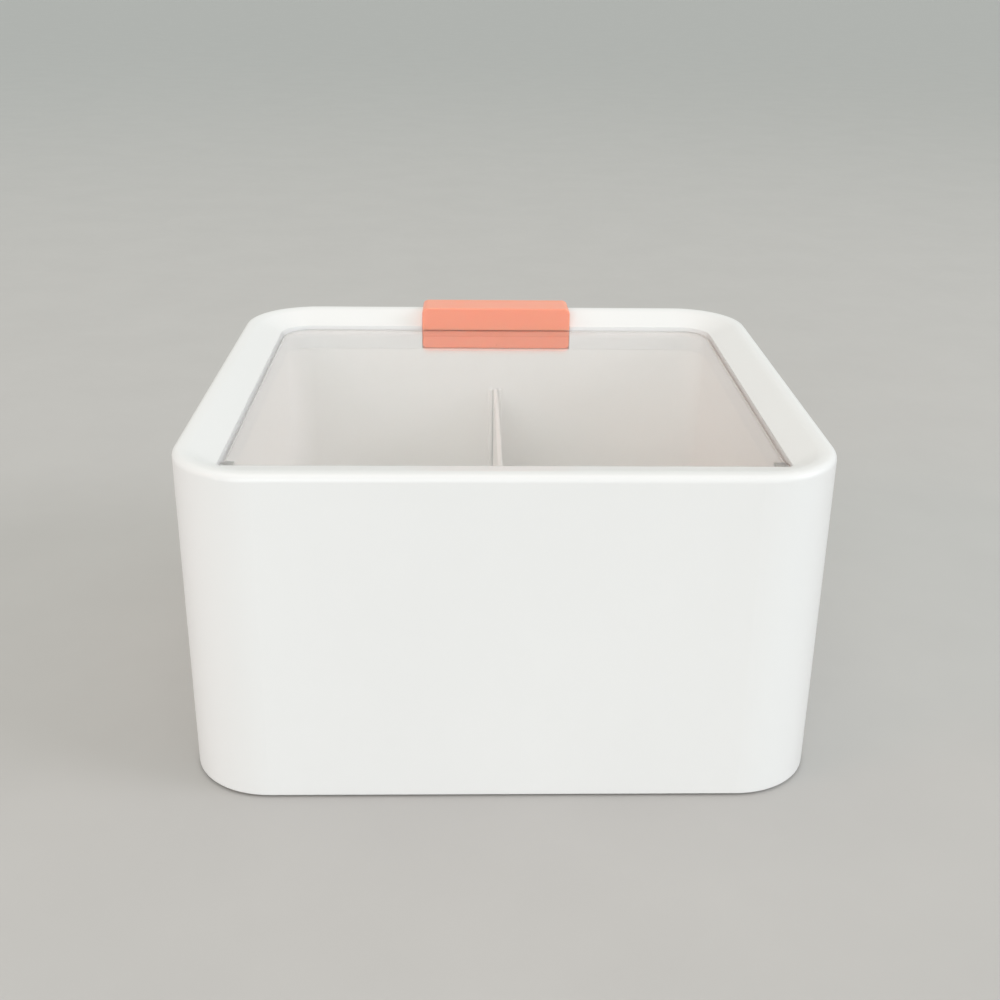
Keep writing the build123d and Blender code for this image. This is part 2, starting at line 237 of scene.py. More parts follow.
@dataclass(frozen=True)
class MouldedPlastic:
    """Opaque injection-moulded plastic with flow mottling and a fine mould texture.

    Attributes:
        name: Name of the material.
        colour: Linear base colour.
        shade: Share by which the mottling darkens the colour.
        roughness: Mean roughness.
        roughness_spread: Half the range of the roughness.
        gloss: Specular level of the skin.
        index: Refractive index of the skin.
        mottling: Grain of the flow mottling.
        wear: Grain by which the roughness varies.
        texture: Grain of the mould texture.
        texture_depth: Height of the mould texture in metres.
        glow: Weight of the light that travels under the skin.
        glow_colour: How far each colour travels, as a share of the reach.
        glow_reach: How far that light travels in metres.
        rounding: Radius in metres by which the shading rounds sharp edges.
        rounding_samples: Rays that find those edges.
    """

    name: str
    colour: Colour
    shade: float = 0.015
    roughness: float = 0.36
    roughness_spread: float = 0.03
    gloss: float = 0.5
    index: float = 1.5
    mottling: Grain = Grain(24.0, 3.0, stretch=1.8)
    wear: Grain = Grain(130.0, 4.0)
    texture: Grain = Grain(2600.0, 2.0)
    texture_depth: float = 0.004 * MM
    glow: float = 0.0
    glow_colour: Colour = (1.0, 0.5, 0.35)
    glow_reach: float = 1.5 * MM
    rounding: float = 0.3 * MM
    rounding_samples: int = 4

    def material(self) -> bpy.types.Material:
        """Builds the material.

        Returns:
            The finished node material.
        """
        sketch = NodeSketch(self.name)
        surface = sketch.add("ShaderNodeBsdfPrincipled")
        mottled = sketch.shaded(sketch.noise(self.mottling), self.colour, self.shade)
        worn = sketch.around(sketch.noise(self.wear), self.roughness, self.roughness_spread)
        edge = sketch.add("ShaderNodeBevel", samples=self.rounding_samples)
        edge.inputs["Radius"].default_value = self.rounding
        bump = sketch.add("ShaderNodeBump")
        bump.inputs["Strength"].default_value = 1.0
        bump.inputs["Distance"].default_value = self.texture_depth
        sketch.join(sketch.noise(self.texture), bump.inputs["Height"])
        sketch.join(edge.outputs["Normal"], bump.inputs["Normal"])
        sketch.join(mottled, surface.inputs["Base Color"])
        sketch.join(worn, surface.inputs["Roughness"])
        sketch.join(bump.outputs["Normal"], surface.inputs["Normal"])
        surface.inputs["IOR"].default_value = self.index
        surface.inputs["Specular IOR Level"].default_value = self.gloss
        surface.inputs["Subsurface Weight"].default_value = self.glow
        surface.inputs["Subsurface Radius"].default_value = self.glow_colour
        surface.inputs["Subsurface Scale"].default_value = self.glow_reach
        return sketch.finish(surface.outputs["BSDF"])


@dataclass(frozen=True)
class ClearPlastic:
    """Clear moulded plate with a trace of haze, which lets the lamps through.

    Attributes:
        name: Name of the material.
        tint: Linear colour that light takes in passing.
        clearness: Share of the light that passes without being scattered.
        roughness: Mean roughness of its polish.
        roughness_spread: Half the range of the roughness.
        index: Refractive index.
        haze: Grain of the haze.
        shade: Share by which the haze darkens the tint.
    """

    name: str
    tint: Colour
    clearness: float = 0.96
    roughness: float = 0.02
    roughness_spread: float = 0.008
    index: float = 1.49
    haze: Grain = Grain(60.0, 3.0)
    shade: float = 0.01

    def material(self) -> bpy.types.Material:
        """Builds the material.

        Returns:
            The finished node material.
        """
        sketch = NodeSketch(self.name)
        surface = sketch.add("ShaderNodeBsdfPrincipled")
        haze = sketch.noise(self.haze)
        polish = sketch.around(haze, self.roughness, self.roughness_spread)
        sketch.join(sketch.shaded(haze, self.tint, self.shade), surface.inputs["Base Color"])
        sketch.join(polish, surface.inputs["Roughness"])
        surface.inputs["Transmission Weight"].default_value = self.clearness
        surface.inputs["IOR"].default_value = self.index
        return sketch.finish(sketch.open_to_lamps(surface.outputs["BSDF"], self.tint))


@dataclass(frozen=True)
class FrostedPlastic:
    """The matt sides of a clear plate, which scatter the light that reaches them.

    Attributes:
        name: Name of the material.
        colour: Linear colour of the scattered light.
        passing: Share of the light that goes on through the side.
        grain: Grain of the matt surface.
        shade: Share by which that grain darkens the colour.
    """

    name: str
    colour: Colour
    passing: float = 0.4
    grain: Grain = Grain(900.0, 2.0)
    shade: float = 0.08

    def material(self) -> bpy.types.Material:
        """Builds the material.

        Returns:
            The finished node material.
        """
        sketch = NodeSketch(self.name)
        colour = sketch.shaded(sketch.noise(self.grain), self.colour, self.shade)
        back = sketch.add("ShaderNodeBsdfDiffuse")
        through = sketch.add("ShaderNodeBsdfTranslucent")
        sketch.join(colour, back.inputs["Color"])
        sketch.join(colour, through.inputs["Color"])
        both = sketch.add("ShaderNodeMixShader")
        both.inputs["Fac"].default_value = self.passing
        sketch.join(back.outputs["BSDF"], both.inputs[1])
        sketch.join(through.outputs["BSDF"], both.inputs[2])
        return sketch.finish(sketch.open_to_lamps(both.outputs["Shader"], self.colour))


@dataclass(frozen=True)
class PlatedSteel:
    """Zinc-plated screw steel.

    Attributes:
        name: Name of the material.
        colour: Linear base colour.
        roughness: Mean roughness.
        roughness_spread: Half the range of the roughness.
        blotches: Grain of the plating's blotches.
        shade: Share by which the blotches darken the colour.
    """

    name: str
    colour: Colour
    roughness: float = 0.3
    roughness_spread: float = 0.09
    blotches: Grain = Grain(700.0, 3.0)
    shade: float = 0.2

    def material(self) -> bpy.types.Material:
        """Builds the material.

        Returns:
            The finished node material.
        """
        sketch = NodeSketch(self.name)
        surface = sketch.add("ShaderNodeBsdfPrincipled")
        surface.inputs["Metallic"].default_value = 1.0
        blotch = sketch.noise(self.blotches)
        polish = sketch.around(blotch, self.roughness, self.roughness_spread)
        sketch.join(sketch.shaded(blotch, self.colour, self.shade), surface.inputs["Base Color"])
        sketch.join(polish, surface.inputs["Roughness"])
        return sketch.finish(surface.outputs["BSDF"])


FINISHES: dict[Slot, MouldedPlastic | ClearPlastic | PlatedSteel] = {
    Slot.CASE: MouldedPlastic("case_plastic", (0.86, 0.855, 0.84)),
    Slot.TRAY: MouldedPlastic("tray_plastic", (0.93, 0.915, 0.885), roughness=0.42),
    Slot.CLEAR: ClearPlastic("lid_plastic", (0.975, 0.97, 0.962)),
    Slot.CORAL: MouldedPlastic(
        "coral_plastic",
        (0.98, 0.375, 0.26),
        shade=0.01,
        roughness=0.5,
        gloss=0.15,
        glow=0.5,
        rounding=0.2 * MM,
    ),
    Slot.RUBBER: MouldedPlastic(
        "foot_rubber",
        (0.11, 0.11, 0.11),
        shade=0.15,
        roughness=0.75,
        roughness_spread=0.05,
        gloss=0.3,
        texture=Grain(1500.0, 2.0),
        texture_depth=0.02 * MM,
    ),
    Slot.STEEL: PlatedSteel("screw_steel", (0.62, 0.61, 0.59)),
}


# ------------------------------------------------------------------ mesh work
class Workbench:
    """Shapes bmeshes and hands them to the frame as finished pieces."""

    def __init__(self) -> None:
        """Mixes each finish once."""
        self.materials = {slot: finish.material() for slot, finish in FINISHES.items()}

    def dress(self, node: str, slot: Slot) -> None:
        """Gives a node of the frame its finish.

        Args:
            node: Name of the node.
            slot: Material slot of its finish.
        """
        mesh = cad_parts[node].data
        mesh.materials.clear()
        mesh.materials.append(self.materials[slot])
        LOG.info("%s: dressed as %s", node, slot.value)

    def copy_of(self, node: str) -> Shape:
        """Takes a node's own shape as one joined surface with whole flat faces.

        Args:
            node: Name of the node.

        Returns:
            The merged copy.
        """
        shape = bmesh.new()
        shape.from_mesh(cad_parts[node].data)
        bmesh.ops.remove_doubles(shape, verts=shape.verts, dist=MERGE_DISTANCE)
        bmesh.ops.dissolve_limit(
            shape, angle_limit=FLAT_ANGLE, verts=shape.verts, edges=shape.edges, delimit=set()
        )
        return shape

    def block(self, low: Vector, high: Vector) -> Shape:
        """Makes a block between two corners.

        Args:
            low: Its lowest corner.
            high: Its highest corner.

        Returns:
            The block.
        """
        shape = bmesh.new()
        bmesh.ops.create_cube(shape, size=1.0)
        bmesh.ops.scale(shape, vec=high - low, verts=shape.verts)
        bmesh.ops.translate(shape, vec=(low + high) / 2, verts=shape.verts)
        return shape

    def bevel(self, shape: Shape, edges: list[bmesh.types.BMEdge], radius: float, steps: int) -> None:
        """Rounds edges of a shape.

        Args:
            shape: Shape to round.
            edges: Its edges to round.
            radius: Width of the rounding in metres.
            steps: Facets across the rounding.
        """
        bmesh.ops.bevel(
            shape,
            geom=edges,
            offset=radius,
            offset_type="OFFSET",
            segments=steps,
            profile=0.5,
            affect="EDGES",
            clamp_overlap=False,
            material=-1,
        )

    def round_where(self, shape: Shape, test: EdgeTest, radius: float, steps: int = 6) -> None:
        """Rounds the edges whose two ends pass a test.

        Args:
            shape: Shape to round.
            test: Says whether an edge from one point to another is rounded.
            radius: Width of the rounding in metres.
            steps: Facets across the rounding.
        """
        chosen = [edge for edge in shape.edges if test(edge.verts[0].co, edge.verts[1].co)]
        self.bevel(shape, chosen, radius, steps)

    def soften(
        self, shape: Shape, radius: float, steps: int = 3, sharp_level: float | None = None
    ) -> None:
        """Rounds every edge that is sharper than CORNER_ANGLE.

        Args:
            shape: Shape to round.
            radius: Width of the rounding in metres.
            steps: Facets across the rounding.
            sharp_level: Height at which edges stay sharp, where two pieces meet.
        """
        sharp = [
            edge
            for edge in shape.edges
            if len(edge.link_faces) == 2 and edge.calc_face_angle(0.0) > CORNER_ANGLE
        ]
        if sharp_level is not None:
            sharp = [e for e in sharp if any(abs(v.co.z - sharp_level) > TOUCH for v in e.verts)]
        self.bevel(shape, sharp, radius, steps)

    def publish(
        self, shape: Shape, name: str, body: Body, slot: Slot, stands_for: str, outward: bool = True
    ) -> bpy.types.Object:
        """Turns a shape into a piece that rides on a body in place of a node.

        Args:
            shape: Finished shape, in the frame's metres. It is used up.
            name: Name of the piece.
            body: Body that it moves with.
            slot: Material slot of its finish.
            stands_for: Node that it replaces.
            outward: Whether its faces still have to be turned outwards.

        Returns:
            The piece.
        """
        if outward:
            bmesh.ops.recalc_face_normals(shape, faces=shape.faces)
        for face in shape.faces:
            face.smooth = True
        mesh = bpy.data.meshes.new(name)
        shape.to_mesh(mesh)
        shape.free()
        mesh.set_sharp_from_angle(angle=SHARP_ANGLE)
        mesh.materials.append(self.materials[slot])
        piece = bpy.data.objects.new(name, mesh)
        bpy.context.scene.collection.objects.link(piece)
        even = piece.modifiers.new("even_shading", "WEIGHTED_NORMAL")
        even.keep_sharp = True
        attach(piece, body.value)
        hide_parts(stands_for)
        LOG.info("%s: %d faces for %s", name, len(mesh.polygons), stands_for)
        return piece

    def softened(self, node: str, name: str, body: Body, slot: Slot, radius: float) -> bpy.types.Object:
        """Publishes a copy of a node with its sharp edges rounded.

        Args:
            node: Node to copy and replace.
            name: Name of the piece.
            body: Body that it moves with.
            slot: Material slot of its finish.
            radius: Width of the rounding in metres.

        Returns:
            The piece.
        """
        shape = self.copy_of(node)
        self.soften(shape, radius)
        return self.publish(shape, name, body, slot, node, outward=False)


@dataclass(frozen=True)
class CrossScrew:
    """A small thread-forming screw with a cross recess, its head's face at z = 0 looking down.

    Attributes:
        head_radius: Radius of the head.
        head_height: Height of the head.
        length: Whole length, head included.
        countersunk: Whether the head tapers to the shank.
        rim: Width of the slope round the head's face.
        shank_radius: Radius over the threads.
        thread_depth: Depth of the threads.
        thread_pitch: Length of one thread.
        recess_reach: Half the length of the cross.
        recess_half: Half the width of its arms.
        recess_depth: Depth of the cross.
        turn_steps: Facets round the screw.
    """

    head_radius: float
    head_height: float
    length: float
    countersunk: bool
    rim: float = 0.15 * MM
    shank_radius: float = 1.2 * MM
    thread_depth: float = 0.28 * MM
    thread_pitch: float = 0.9 * MM
    recess_reach: float = 1.25 * MM
    recess_half: float = 0.28 * MM
    recess_depth: float = 0.6 * MM
    turn_steps: int = 32

    def profile(self) -> list[tuple[float, float]]:
        """Works out the screw's outline.

        Returns:
            Radius and height of each point from the head's rim to the tip.
        """
        points = [(self.head_radius - self.rim, 0.0), (self.head_radius, self.rim)]
        if not self.countersunk:
            points.append((self.head_radius, self.head_height))
        core = self.shank_radius - self.thread_depth
        points.append((core, self.head_height))
        height = self.head_height + self.thread_pitch / 2
        while height + self.thread_pitch < self.length:
            points.append((core, height))
            points.append((self.shank_radius, height + self.thread_pitch / 2))
            height += self.thread_pitch
        points.append((core, height))
        points.append((core / 2, self.length))
        return points

    def shape(self) -> Shape:
        """Builds the screw.

        Returns:
            Its shape, with the head at the origin and the tip above it.
        """
        shape = bmesh.new()
        points = [shape.verts.new((radius, 0.0, height)) for radius, height in self.profile()]
        line = [shape.edges.new(pair) for pair in zip(points, points[1:])]
        bmesh.ops.spin(
            shape,
            geom=points + line,
            cent=(0, 0, 0),
            axis=(0, 0, 1),
            angle=math.tau,
            steps=self.turn_steps,
            use_merge=True,
        )
        bmesh.ops.remove_doubles(shape, verts=shape.verts, dist=MERGE_DISTANCE)
        open_edges = [edge for edge in shape.edges if edge.is_boundary]
        bmesh.ops.holes_fill(shape, edges=open_edges, sides=0)
        self.cut_cross(shape)
        return shape

    def cut_cross(self, shape: Shape) -> None:
        """Sinks the cross recess into the head's face.

        Args:
            shape: The screw's shape.
        """
        for normal in (Vector((1, 0, 0)), Vector((0, 1, 0))):
            for offset in (-self.recess_reach, -self.recess_half, self.recess_half, self.recess_reach):
                flat = [f for f in shape.faces if all(abs(v.co.z) < TOUCH for v in f.verts)]
                around = {e for f in flat for e in f.edges} | {v for f in flat for v in f.verts}
                bmesh.ops.bisect_plane(
                    shape, geom=flat + list(around), plane_co=normal * offset, plane_no=normal
                )
        arms = [f for f in shape.faces if self.in_cross(f)]
        sunk = bmesh.ops.extrude_face_region(shape, geom=arms)
        bmesh.ops.delete(shape, geom=arms, context="FACES_ONLY")
        floor = [v for v in sunk["geom"] if isinstance(v, bmesh.types.BMVert)]
        bmesh.ops.translate(shape, vec=(0, 0, self.recess_depth), verts=floor)

    def in_cross(self, face: bmesh.types.BMFace) -> bool:
        """Tells whether a face lies in the cross.

        Args:
            face: Face of the screw.

        Returns:
            True where it is part of the head's face and inside the cross.
        """
        spot = face.calc_center_median()
        if abs(spot.z) > TOUCH or any(abs(v.co.z) > TOUCH for v in face.verts):
            return False
        across, along = sorted((abs(spot.x), abs(spot.y)))
        return across < self.recess_half and along < self.recess_reach

    def at(self, spots: Iterable[Vector], turn: Matrix) -> Shape:
        """Repeats the screw.

        Args:
            spots: Place of each head's face.
            turn: Rotation from looking down to the screw's own direction.

        Returns:
            One shape with all the screws.
        """
        one = bpy.data.meshes.new("one_screw")
        screw = self.shape()
        screw.to_mesh(one)
        screw.free()
        whole = bmesh.new()
        for spot in spots:
            start = len(whole.verts)
            whole.from_mesh(one)
            whole.verts.ensure_lookup_table()
            bmesh.ops.transform(
                whole, matrix=Matrix.Translation(spot) @ turn, verts=whole.verts[start:]
            )
        bpy.data.meshes.remove(one)
        return whole


# ------------------------------------------------------------------ sub-assemblies
@dataclass
class Case:
    """The white case with its bottom cover, feet and cover screws.

    Attributes:
        bench: Where its pieces are made.
        foot_rounding: Rounding of a foot's lower edge.
        foot_dish: Depth of the dish in a foot's sole.
        foot_rim: Width of the ring round that dish.
        foot_facets: Facets round a foot.
        foot_rounding_steps: Facets across the rounding of its lower edge.
        screw_head: Radius of a cover screw's head.
        screw_head_height: Height of a cover screw's head.
        corners: Corners of the case that have a foot.
    """

    bench: Workbench
    foot_rounding: float = 0.35 * MM
    foot_dish: float = 0.25 * MM
    foot_rim: float = 1.4 * MM
    foot_facets: int = 64
    foot_rounding_steps: int = 4
    screw_head: float = 2.5 * MM
    screw_head_height: float = 1.3 * MM
    corners: tuple[str, ...] = ("back_left", "back_right", "front_left", "front_right")

    def build(self) -> None:
        """Dresses the mouldings and makes the feet and screws."""
        self.bench.dress("outer_shell", Slot.CASE)
        self.bench.dress("base_plate", Slot.CASE)
        for corner in self.corners:
            self.foot(corner)
        self.screws()

    def foot(self, corner: str) -> bpy.types.Object:
        """Makes a rubber foot with a dished sole.

        Args:
            corner: Which corner of the case it stands under.

        Returns:
            The foot.
        """
        low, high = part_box(f"foot_{corner}")
        middle = (Vector(low) + Vector(high)) / 2
        radius, height = (high[0] - low[0]) / 2, high[2] - low[2]
        shape = bmesh.new()
        bmesh.ops.create_cone(
            shape,
            cap_ends=True,
            segments=self.foot_facets,
            radius1=radius,
            radius2=radius,
            depth=height,
            matrix=Matrix.Translation(middle),
        )
        sole = [f for f in shape.faces if all(v.co.z < low[2] + TOUCH for v in f.verts)]
        bmesh.ops.inset_region(shape, faces=sole, thickness=self.foot_rim)
        inner = {v for f in sole for v in f.verts}
        bmesh.ops.translate(shape, vec=(0, 0, self.foot_dish), verts=list(inner))
        rim = radius - TOUCH
        self.bench.round_where(
            shape,
            lambda a, b: max(a.z, b.z) < low[2] + TOUCH
            and min((a - middle).xy.length, (b - middle).xy.length) > rim,
            self.foot_rounding,
            self.foot_rounding_steps,
        )
        return self.bench.publish(
            shape, f"rubber_foot_{corner}", Body.CASE, Slot.RUBBER, f"foot_{corner}"
        )

    def screws(self) -> bpy.types.Object:
        """Makes the four countersunk screws of the bottom cover.

        Returns:
            The set of screws.
        """
        low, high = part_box("base_screws")
        reach = self.screw_head
        spots = [
            Vector((x, y, low[2]))
            for x in (low[0] + reach, high[0] - reach)
            for y in (low[1] + reach, high[1] - reach)
        ]
        screw = CrossScrew(reach, self.screw_head_height, high[2] - low[2], countersunk=True)
        whole = screw.at(spots, Matrix.Identity(4))
        return self.bench.publish(whole, "cover_screw_set", Body.CASE, Slot.STEEL, "base_screws")


@dataclass
class Bays:
    """The liner of the two bays and the partition that stands between them.

    Attributes:
        bench: Where its pieces are made.
        liner_edge: Rounding of the liner's edges.
        plate_foot_radius: Radius of the partition's lower corners.
        plate_top_radius: Radius of its upper corners.
        plate_edge: Rounding of its long edges.
    """

    bench: Workbench
    liner_edge: float = 0.2 * MM
    plate_foot_radius: float = 2.5 * MM
    plate_top_radius: float = 1.0 * MM
    plate_edge: float = 0.3 * MM

    def build(self) -> None:
        """Makes the liner and the partition."""
        self.bench.softened("compartment_tray", "bay_liner", Body.CASE, Slot.TRAY, self.liner_edge)
        self.partition()

    def partition(self) -> bpy.types.Object:
        """Makes the thin partition with rounded corners and edges.

        Returns:
            The partition.
        """
        low, high = (Vector(corner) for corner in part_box("divider"))
        shape = self.bench.block(low, high)
        for level, radius in ((low.z, self.plate_foot_radius), (high.z, self.plate_top_radius)):
            self.bench.round_where(
                shape,
                lambda a, b: abs(a.z - level) < TOUCH
                and abs(b.z - level) < TOUCH
                and abs(a.y - b.y) < TOUCH,
                radius,
            )
        self.bench.soften(shape, self.plate_edge)
        return self.bench.publish(shape, "partition_plate", Body.CASE, Slot.TRAY, "divider")


@dataclass
class Lid:
    """The clear plate and the two halves of its coral grip.

    Attributes:
        bench: Where its pieces are made.
        plate_side: Finish of the plate's matt sides.
        tip_fall: How far the grip's top falls towards its tip.
        crest_clearance: Gap between the grip and the rim that it reaches over.
        fullness: How far the grip reaches into the running gap beside and below it.
        shoulder_radius: Rounding of the grip's upper ends.
        shoulder_steps: Facets across that rounding.
        cheek_radius: Rounding of the jaw's lower ends.
        cheek_steps: Facets across that rounding.
        grip_edge: Rounding of the grip's other edges.
        grip_edge_steps: Facets across that rounding.
        peg_radius: Radius of the pegs that join the halves.
        peg_spread: Distance between the pegs.
        peg_facets: Facets round a peg.
        gate_radius: Radius of the moulding mark on the jaw.
        gate_taper: Radius of the mark's face as a share of its foot's.
        gate_height: How far that mark stands proud.
        gate_rise: Height of its middle above the jaw's lower end.
        gate_facets: Facets round the mark.
        line_drop: Depth below the plate of the fine line along the jaw.
        line_width: Width of that line.
        line_depth: Depth of that line.
    """

    bench: Workbench
    plate_side: FrostedPlastic = FrostedPlastic("lid_side", (0.74, 0.74, 0.73))
    tip_fall: float = 1.0 * MM
    crest_clearance: float = 0.3 * MM
    fullness: float = 0.2 * MM
    shoulder_radius: float = 1.8 * MM
    shoulder_steps: int = 10
    cheek_radius: float = 1.4 * MM
    cheek_steps: int = 8
    grip_edge: float = 0.45 * MM
    grip_edge_steps: int = 5
    peg_radius: float = 1.3 * MM
    peg_spread: float = 28.0 * MM
    peg_facets: int = 24
    gate_radius: float = 0.4 * MM
    gate_taper: float = 0.7
    gate_height: float = 0.15 * MM
    gate_rise: float = 0.9 * MM
    gate_facets: int = 16
    line_drop: float = 1.3 * MM
    line_width: float = 0.3 * MM
    line_depth: float = 0.25 * MM

    def build(self) -> None:
        """Makes the plate, the grip's cap and its jaw."""
        self.plate()
        self.cap()
        self.jaw()

    def plate(self) -> bpy.types.Object:
        """Makes the clear plate, polished on its two faces and matt on its sides.

        Returns:
            The plate.
        """
        plate = self.bench.publish(
            self.bench.copy_of("lid_panel"), "lid_plate", Body.LID, Slot.CLEAR, "lid_panel", False
        )
        plate.data.materials.append(self.plate_side.material())
        for face in plate.data.polygons:
            face.material_index = int(abs(face.normal.z) < SIDE_LEAN)
        return plate

    def grip_corners(self, node: str) -> tuple[Vector, Vector]:
        """Opposite corners of half a grip, widened to fill its notch.

        Args:
            node: Node of that half.

        Returns:
            The lowest and the highest corner.
        """
        low, high = (Vector(corner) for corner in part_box(node))
        low.x -= self.fullness
        high.x += self.fullness
        return low, high

    def cap(self) -> bpy.types.Object:
        """Makes the upper half of the grip, which reaches over the wall.

        Returns:
            The cap.
        """
        low, high = self.grip_corners("lid_grip_cap")
        plate_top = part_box("lid_panel")[1][2]
        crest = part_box("outer_shell")[1][2] + self.crest_clearance
        step_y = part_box("lid_grip_jaw")[1][1]
        outline = (
            (low.y, plate_top),
            (low.y, high.z),
            (high.y, high.z - self.tip_fall),
            (high.y, crest),
            (step_y, crest),
            (step_y, plate_top),
        )
        shape = bmesh.new()
        end = shape.faces.new([shape.verts.new((low.x, y, z)) for y, z in outline])
        grown = bmesh.ops.extrude_face_region(shape, geom=[end])
        moved = [v for v in grown["geom"] if isinstance(v, bmesh.types.BMVert)]
        bmesh.ops.translate(shape, vec=(high.x - low.x, 0, 0), verts=moved)
        top = high.z - self.tip_fall - TOUCH
        self.bench.round_where(
            shape,
            lambda a, b: min(a.z, b.z) > top and abs(a.x - b.x) < TOUCH and abs(a.y - b.y) > TOUCH,
            self.shoulder_radius,
            self.shoulder_steps,
        )
        self.bench.soften(shape, self.grip_edge, self.grip_edge_steps, plate_top)
        self.add_pegs(shape, low.z, plate_top, (low.y + step_y) / 2)
        return self.bench.publish(shape, "grip_cap", Body.LID, Slot.CORAL, "lid_grip_cap")

    def add_pegs(self, shape: Shape, bottom: float, top: float, place_y: float) -> None:
        """Adds the two pegs under the cap.

        Args:
            shape: The cap's shape.
            bottom: Height of the pegs' lower ends.
            top: Height of the plate's upper face.
            place_y: Where the pegs stand along Y.
        """
        for side in (-1, 1):
            spot = Vector((side * self.peg_spread / 2, place_y, (bottom + top) / 2))
            bmesh.ops.create_cone(
                shape,
                cap_ends=True,
                segments=self.peg_facets,
                radius1=self.peg_radius,
                radius2=self.peg_radius,
                depth=top - bottom,
                matrix=Matrix.Translation(spot),
            )

    def jaw(self) -> bpy.types.Object:
        """Makes the lower half of the grip, with a small moulding mark on its face.

        Returns:
            The jaw.
        """
        low, high = self.grip_corners("lid_grip_jaw")
        low.z -= self.fullness
        shape = self.bench.block(low, high)
        self.bench.round_where(
            shape,
            lambda a, b: max(a.z, b.z) < low.z + TOUCH and abs(a.x - b.x) < TOUCH,
            self.cheek_radius,
            self.cheek_steps,
        )
        self.bench.soften(shape, self.grip_edge, self.grip_edge_steps, high.z)
        self.cut_line(shape, high.z - self.line_drop)
        spot = Vector(((low.x + high.x) / 2, low.y, low.z + self.gate_rise))
        whole_height = 2 * self.gate_height  # one half of the mark is sunk in the jaw
        bmesh.ops.create_cone(
            shape,
            cap_ends=True,
            segments=self.gate_facets,
            radius1=self.gate_radius,
            radius2=self.gate_radius * self.gate_taper,
            depth=whole_height,
            matrix=Matrix.Translation(spot) @ Matrix.Rotation(math.pi / 2, 4, "X"),
        )
        return self.bench.publish(shape, "grip_jaw", Body.LID, Slot.CORAL, "lid_grip_jaw")

    def cut_line(self, shape: Shape, level: float) -> None:
        """Sinks a fine line into a block's four sides.

        Args:
            shape: Block to cut.
            level: Height of the line's upper border.
        """
        for height in (level, level - self.line_width):
            bmesh.ops.bisect_plane(
                shape,
                geom=shape.verts[:] + shape.edges[:] + shape.faces[:],
                plane_co=(0, 0, height),
                plane_no=(0, 0, 1),
            )
        middle = level - self.line_width / 2
        band = [f for f in shape.faces if abs(f.calc_center_median().z - middle) < TOUCH]
        bmesh.ops.inset_region(shape, faces=band, thickness=0.0, depth=-self.line_depth)


@dataclass
class Drawer:
    """The drawer, its front, pull and screws, and the runners that guide it.

    Attributes:
        bench: Where its pieces are made.
        edge: Rounding of the mouldings' edges.
        screw_head: Radius of a pull screw's head.
        screw_head_height: Height of a pull screw's head.
    """

    bench: Workbench
    edge: float = 0.25 * MM
    screw_head: float = 2.2 * MM
    screw_head_height: float = 1.4 * MM

    def build(self) -> None:
        """Makes the drawer's pieces and the runners."""
        self.bench.softened("drawer_tray", "drawer_box", Body.DRAWER, Slot.TRAY, self.edge)
        self.bench.softened("drawer_front", "drawer_panel", Body.DRAWER, Slot.CASE, self.edge)
        self.bench.softened("drawer_pull", "pull_bar", Body.DRAWER, Slot.CORAL, self.edge)
        for side in ("left", "right"):
            self.bench.softened(
                f"runner_{side}", f"guide_strip_{side}", Body.CASE, Slot.TRAY, self.edge
            )
        self.screws()

    def screws(self) -> bpy.types.Object:
        """Makes the two pan-head screws that hold the pull.

        Returns:
            The pair of screws.
        """
        low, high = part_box("pull_screws")
        level = (low[2] + high[2]) / 2
        spots = [
            Vector((x, low[1], level)) for x in (low[0] + self.screw_head, high[0] - self.screw_head)
        ]
        screw = CrossScrew(
            self.screw_head, self.screw_head_height, high[1] - low[1], countersunk=False
        )
        whole = screw.at(spots, Matrix.Rotation(-math.pi / 2, 4, "X"))
        return self.bench.publish(whole, "pull_screw_pair", Body.DRAWER, Slot.STEEL, "pull_screws")


# ------------------------------------------------------------------ studio
@dataclass
class PhotoCamera:
    """The photograph's camera, found from the case's edges.

    Attributes:
        place_mm: Position in the object's frame, in millimetres.
        yaw: Turn to the right from looking along +Y, in degrees.
        pitch: Downward tilt in degrees.
        roll: Clockwise roll in degrees.
        focal_px: Focal length in pixels of the photograph.
        sensor_mm: Width of the sensor in millimetres.
        nearest: Distance in metres at which it starts to see.
        farthest: Distance in metres at which it stops.
    """

    place_mm: tuple[float, float, float] = (-8.8, -328.7, 183.6)
    yaw: float = 1.59
    pitch: float = 22.91
    roll: float = 0.72
    focal_px: float = 1288.6
    sensor_mm: float = 36.0
    nearest: float = 0.01
    farthest: float = 20.0

    def build(self) -> bpy.types.Object:
        """Makes the camera and hands it to the scene.

        Returns:
            The camera object.
        """
        yaw, pitch, roll = (math.radians(a) for a in (self.yaw, self.pitch, self.roll))
        ahead = Vector(
            (math.sin(yaw) * math.cos(pitch), math.cos(yaw) * math.cos(pitch), -math.sin(pitch))
        )
        level = Vector((math.cos(yaw), -math.sin(yaw), 0.0))
        upward = level.cross(ahead)
        right = level * math.cos(roll) + upward * math.sin(roll)
        top = upward * math.cos(roll) - level * math.sin(roll)
        data = bpy.data.cameras.new("photo_camera")
        data.sensor_width = self.sensor_mm
        data.lens = self.focal_px / PHOTO_SIDE_PX * self.sensor_mm
        data.clip_start = self.nearest
        data.clip_end = self.farthest
        camera = bpy.data.objects.new("photo_camera", data)
        turn = Matrix((right, top, -ahead)).transposed().to_4x4()
        camera.matrix_world = Matrix.Translation(Vector(self.place_mm) * MM) @ turn
        bpy.context.scene.collection.objects.link(camera)
        bpy.context.scene.camera = camera
        return camera


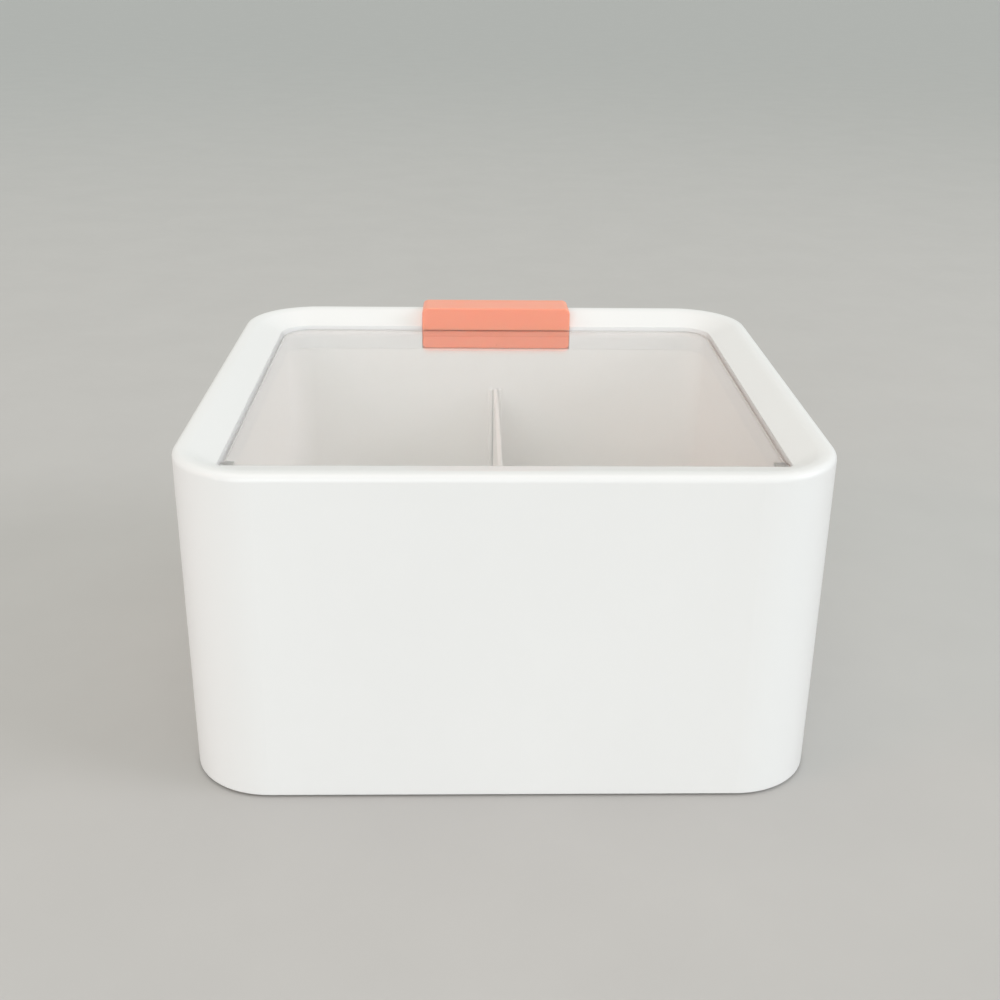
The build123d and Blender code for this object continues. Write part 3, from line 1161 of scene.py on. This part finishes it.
@dataclass(frozen=True)
class SoftLamp:
    """A square area lamp that points at the object.

    Attributes:
        name: Name of the lamp.
        place: Position in metres.
        side: Side of its square in metres.
        power: Power in watts.
        colour: Linear colour of its light.
        spread: Full angle that its light fans out over, in degrees.
    """

    name: str
    place: tuple[float, float, float]
    side: float
    power: float
    colour: Colour
    spread: float = 180.0

    def build(self) -> bpy.types.Object:
        """Hangs the lamp.

        Returns:
            The lamp object.
        """
        data = bpy.data.lights.new(self.name, "AREA")
        data.shape = "SQUARE"
        data.size = self.side
        data.energy = self.power
        data.color = self.colour
        data.spread = math.radians(self.spread)
        lamp = bpy.data.objects.new(self.name, data)
        lamp.location = self.place
        lamp.rotation_mode = "QUATERNION"
        lamp.rotation_quaternion = (-Vector(self.place)).to_track_quat("-Z", "Y")
        bpy.context.scene.collection.objects.link(lamp)
        return lamp


@dataclass
class Studio:
    """Pale floor and soft light round the object.

    Attributes:
        floor_half: Half the floor's side in metres.
        floor_paint: Finish of the floor.
        world_colour: Linear colour of the world's light.
        world_strength: Strength of the world's light.
        lamps: The area lamps.
    """

    floor_half: float = 12.0
    floor_paint: MouldedPlastic = MouldedPlastic(
        "floor_paint", (0.54, 0.525, 0.505), shade=0.03, roughness=0.6
    )
    world_colour: Colour = (0.945, 1.0, 0.98)
    world_strength: float = 0.765
    lamps: tuple[SoftLamp, ...] = (
        SoftLamp(
            "front_lamp",
            (-0.6, -2.4, 0.7),
            side=1.2,
            power=2.65,
            colour=(0.9, 0.955, 1.0),
            spread=60.0,
        ),
        SoftLamp(
            "top_lamp",
            (-0.1, 0.2, 1.4),
            side=1.0,
            power=1.6,
            colour=(1.0, 0.78, 0.59),
        ),
        SoftLamp(
            "left_lamp",
            (-2.2, -1.0, 1.2),
            side=1.2,
            power=0.85,
            colour=(1.0, 0.42, 0.3),
            spread=60.0,
        ),
        SoftLamp(
            "right_lamp",
            (2.4, -0.6, 1.2),
            side=1.2,
            power=2.9,
            colour=(0.94, 0.92, 1.0),
            spread=60.0,
        ),
    )

    def floor(self) -> bpy.types.Object:
        """Lays the floor, which stays outside the object.

        Returns:
            The floor object.
        """
        shape = bmesh.new()
        bmesh.ops.create_grid(shape, x_segments=1, y_segments=1, size=self.floor_half)
        mesh = bpy.data.meshes.new("floor")
        shape.to_mesh(mesh)
        shape.free()
        mesh.materials.append(self.floor_paint.material())
        floor = bpy.data.objects.new("floor", mesh)
        bpy.context.scene.collection.objects.link(floor)
        return floor

    def light(self) -> None:
        """Sets the world's light and hangs the lamps."""
        world = bpy.data.worlds.new("studio")
        world.use_nodes = True
        sky = world.node_tree.nodes["Background"]
        sky.inputs["Color"].default_value = (*self.world_colour, 1)
        sky.inputs["Strength"].default_value = self.world_strength
        bpy.context.scene.world = world
        for lamp in self.lamps:
            lamp.build()

    def build(self) -> None:
        """Makes the floor and the lights."""
        self.floor()
        self.light()


def main() -> None:
    """Builds the looks round the frame, in order."""
    logging.basicConfig(level=logging.INFO, format="%(message)s")
    bpy.context.scene.view_settings.view_transform = "Standard"
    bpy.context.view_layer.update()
    bench = Workbench()
    PhotoCamera().build()
    Studio().build()
    for assembly in (Case(bench), Bays(bench), Lid(bench), Drawer(bench)):
        assembly.build()
        LOG.info("%s: built", type(assembly).__name__)


if __name__ == "__main__":
    main()
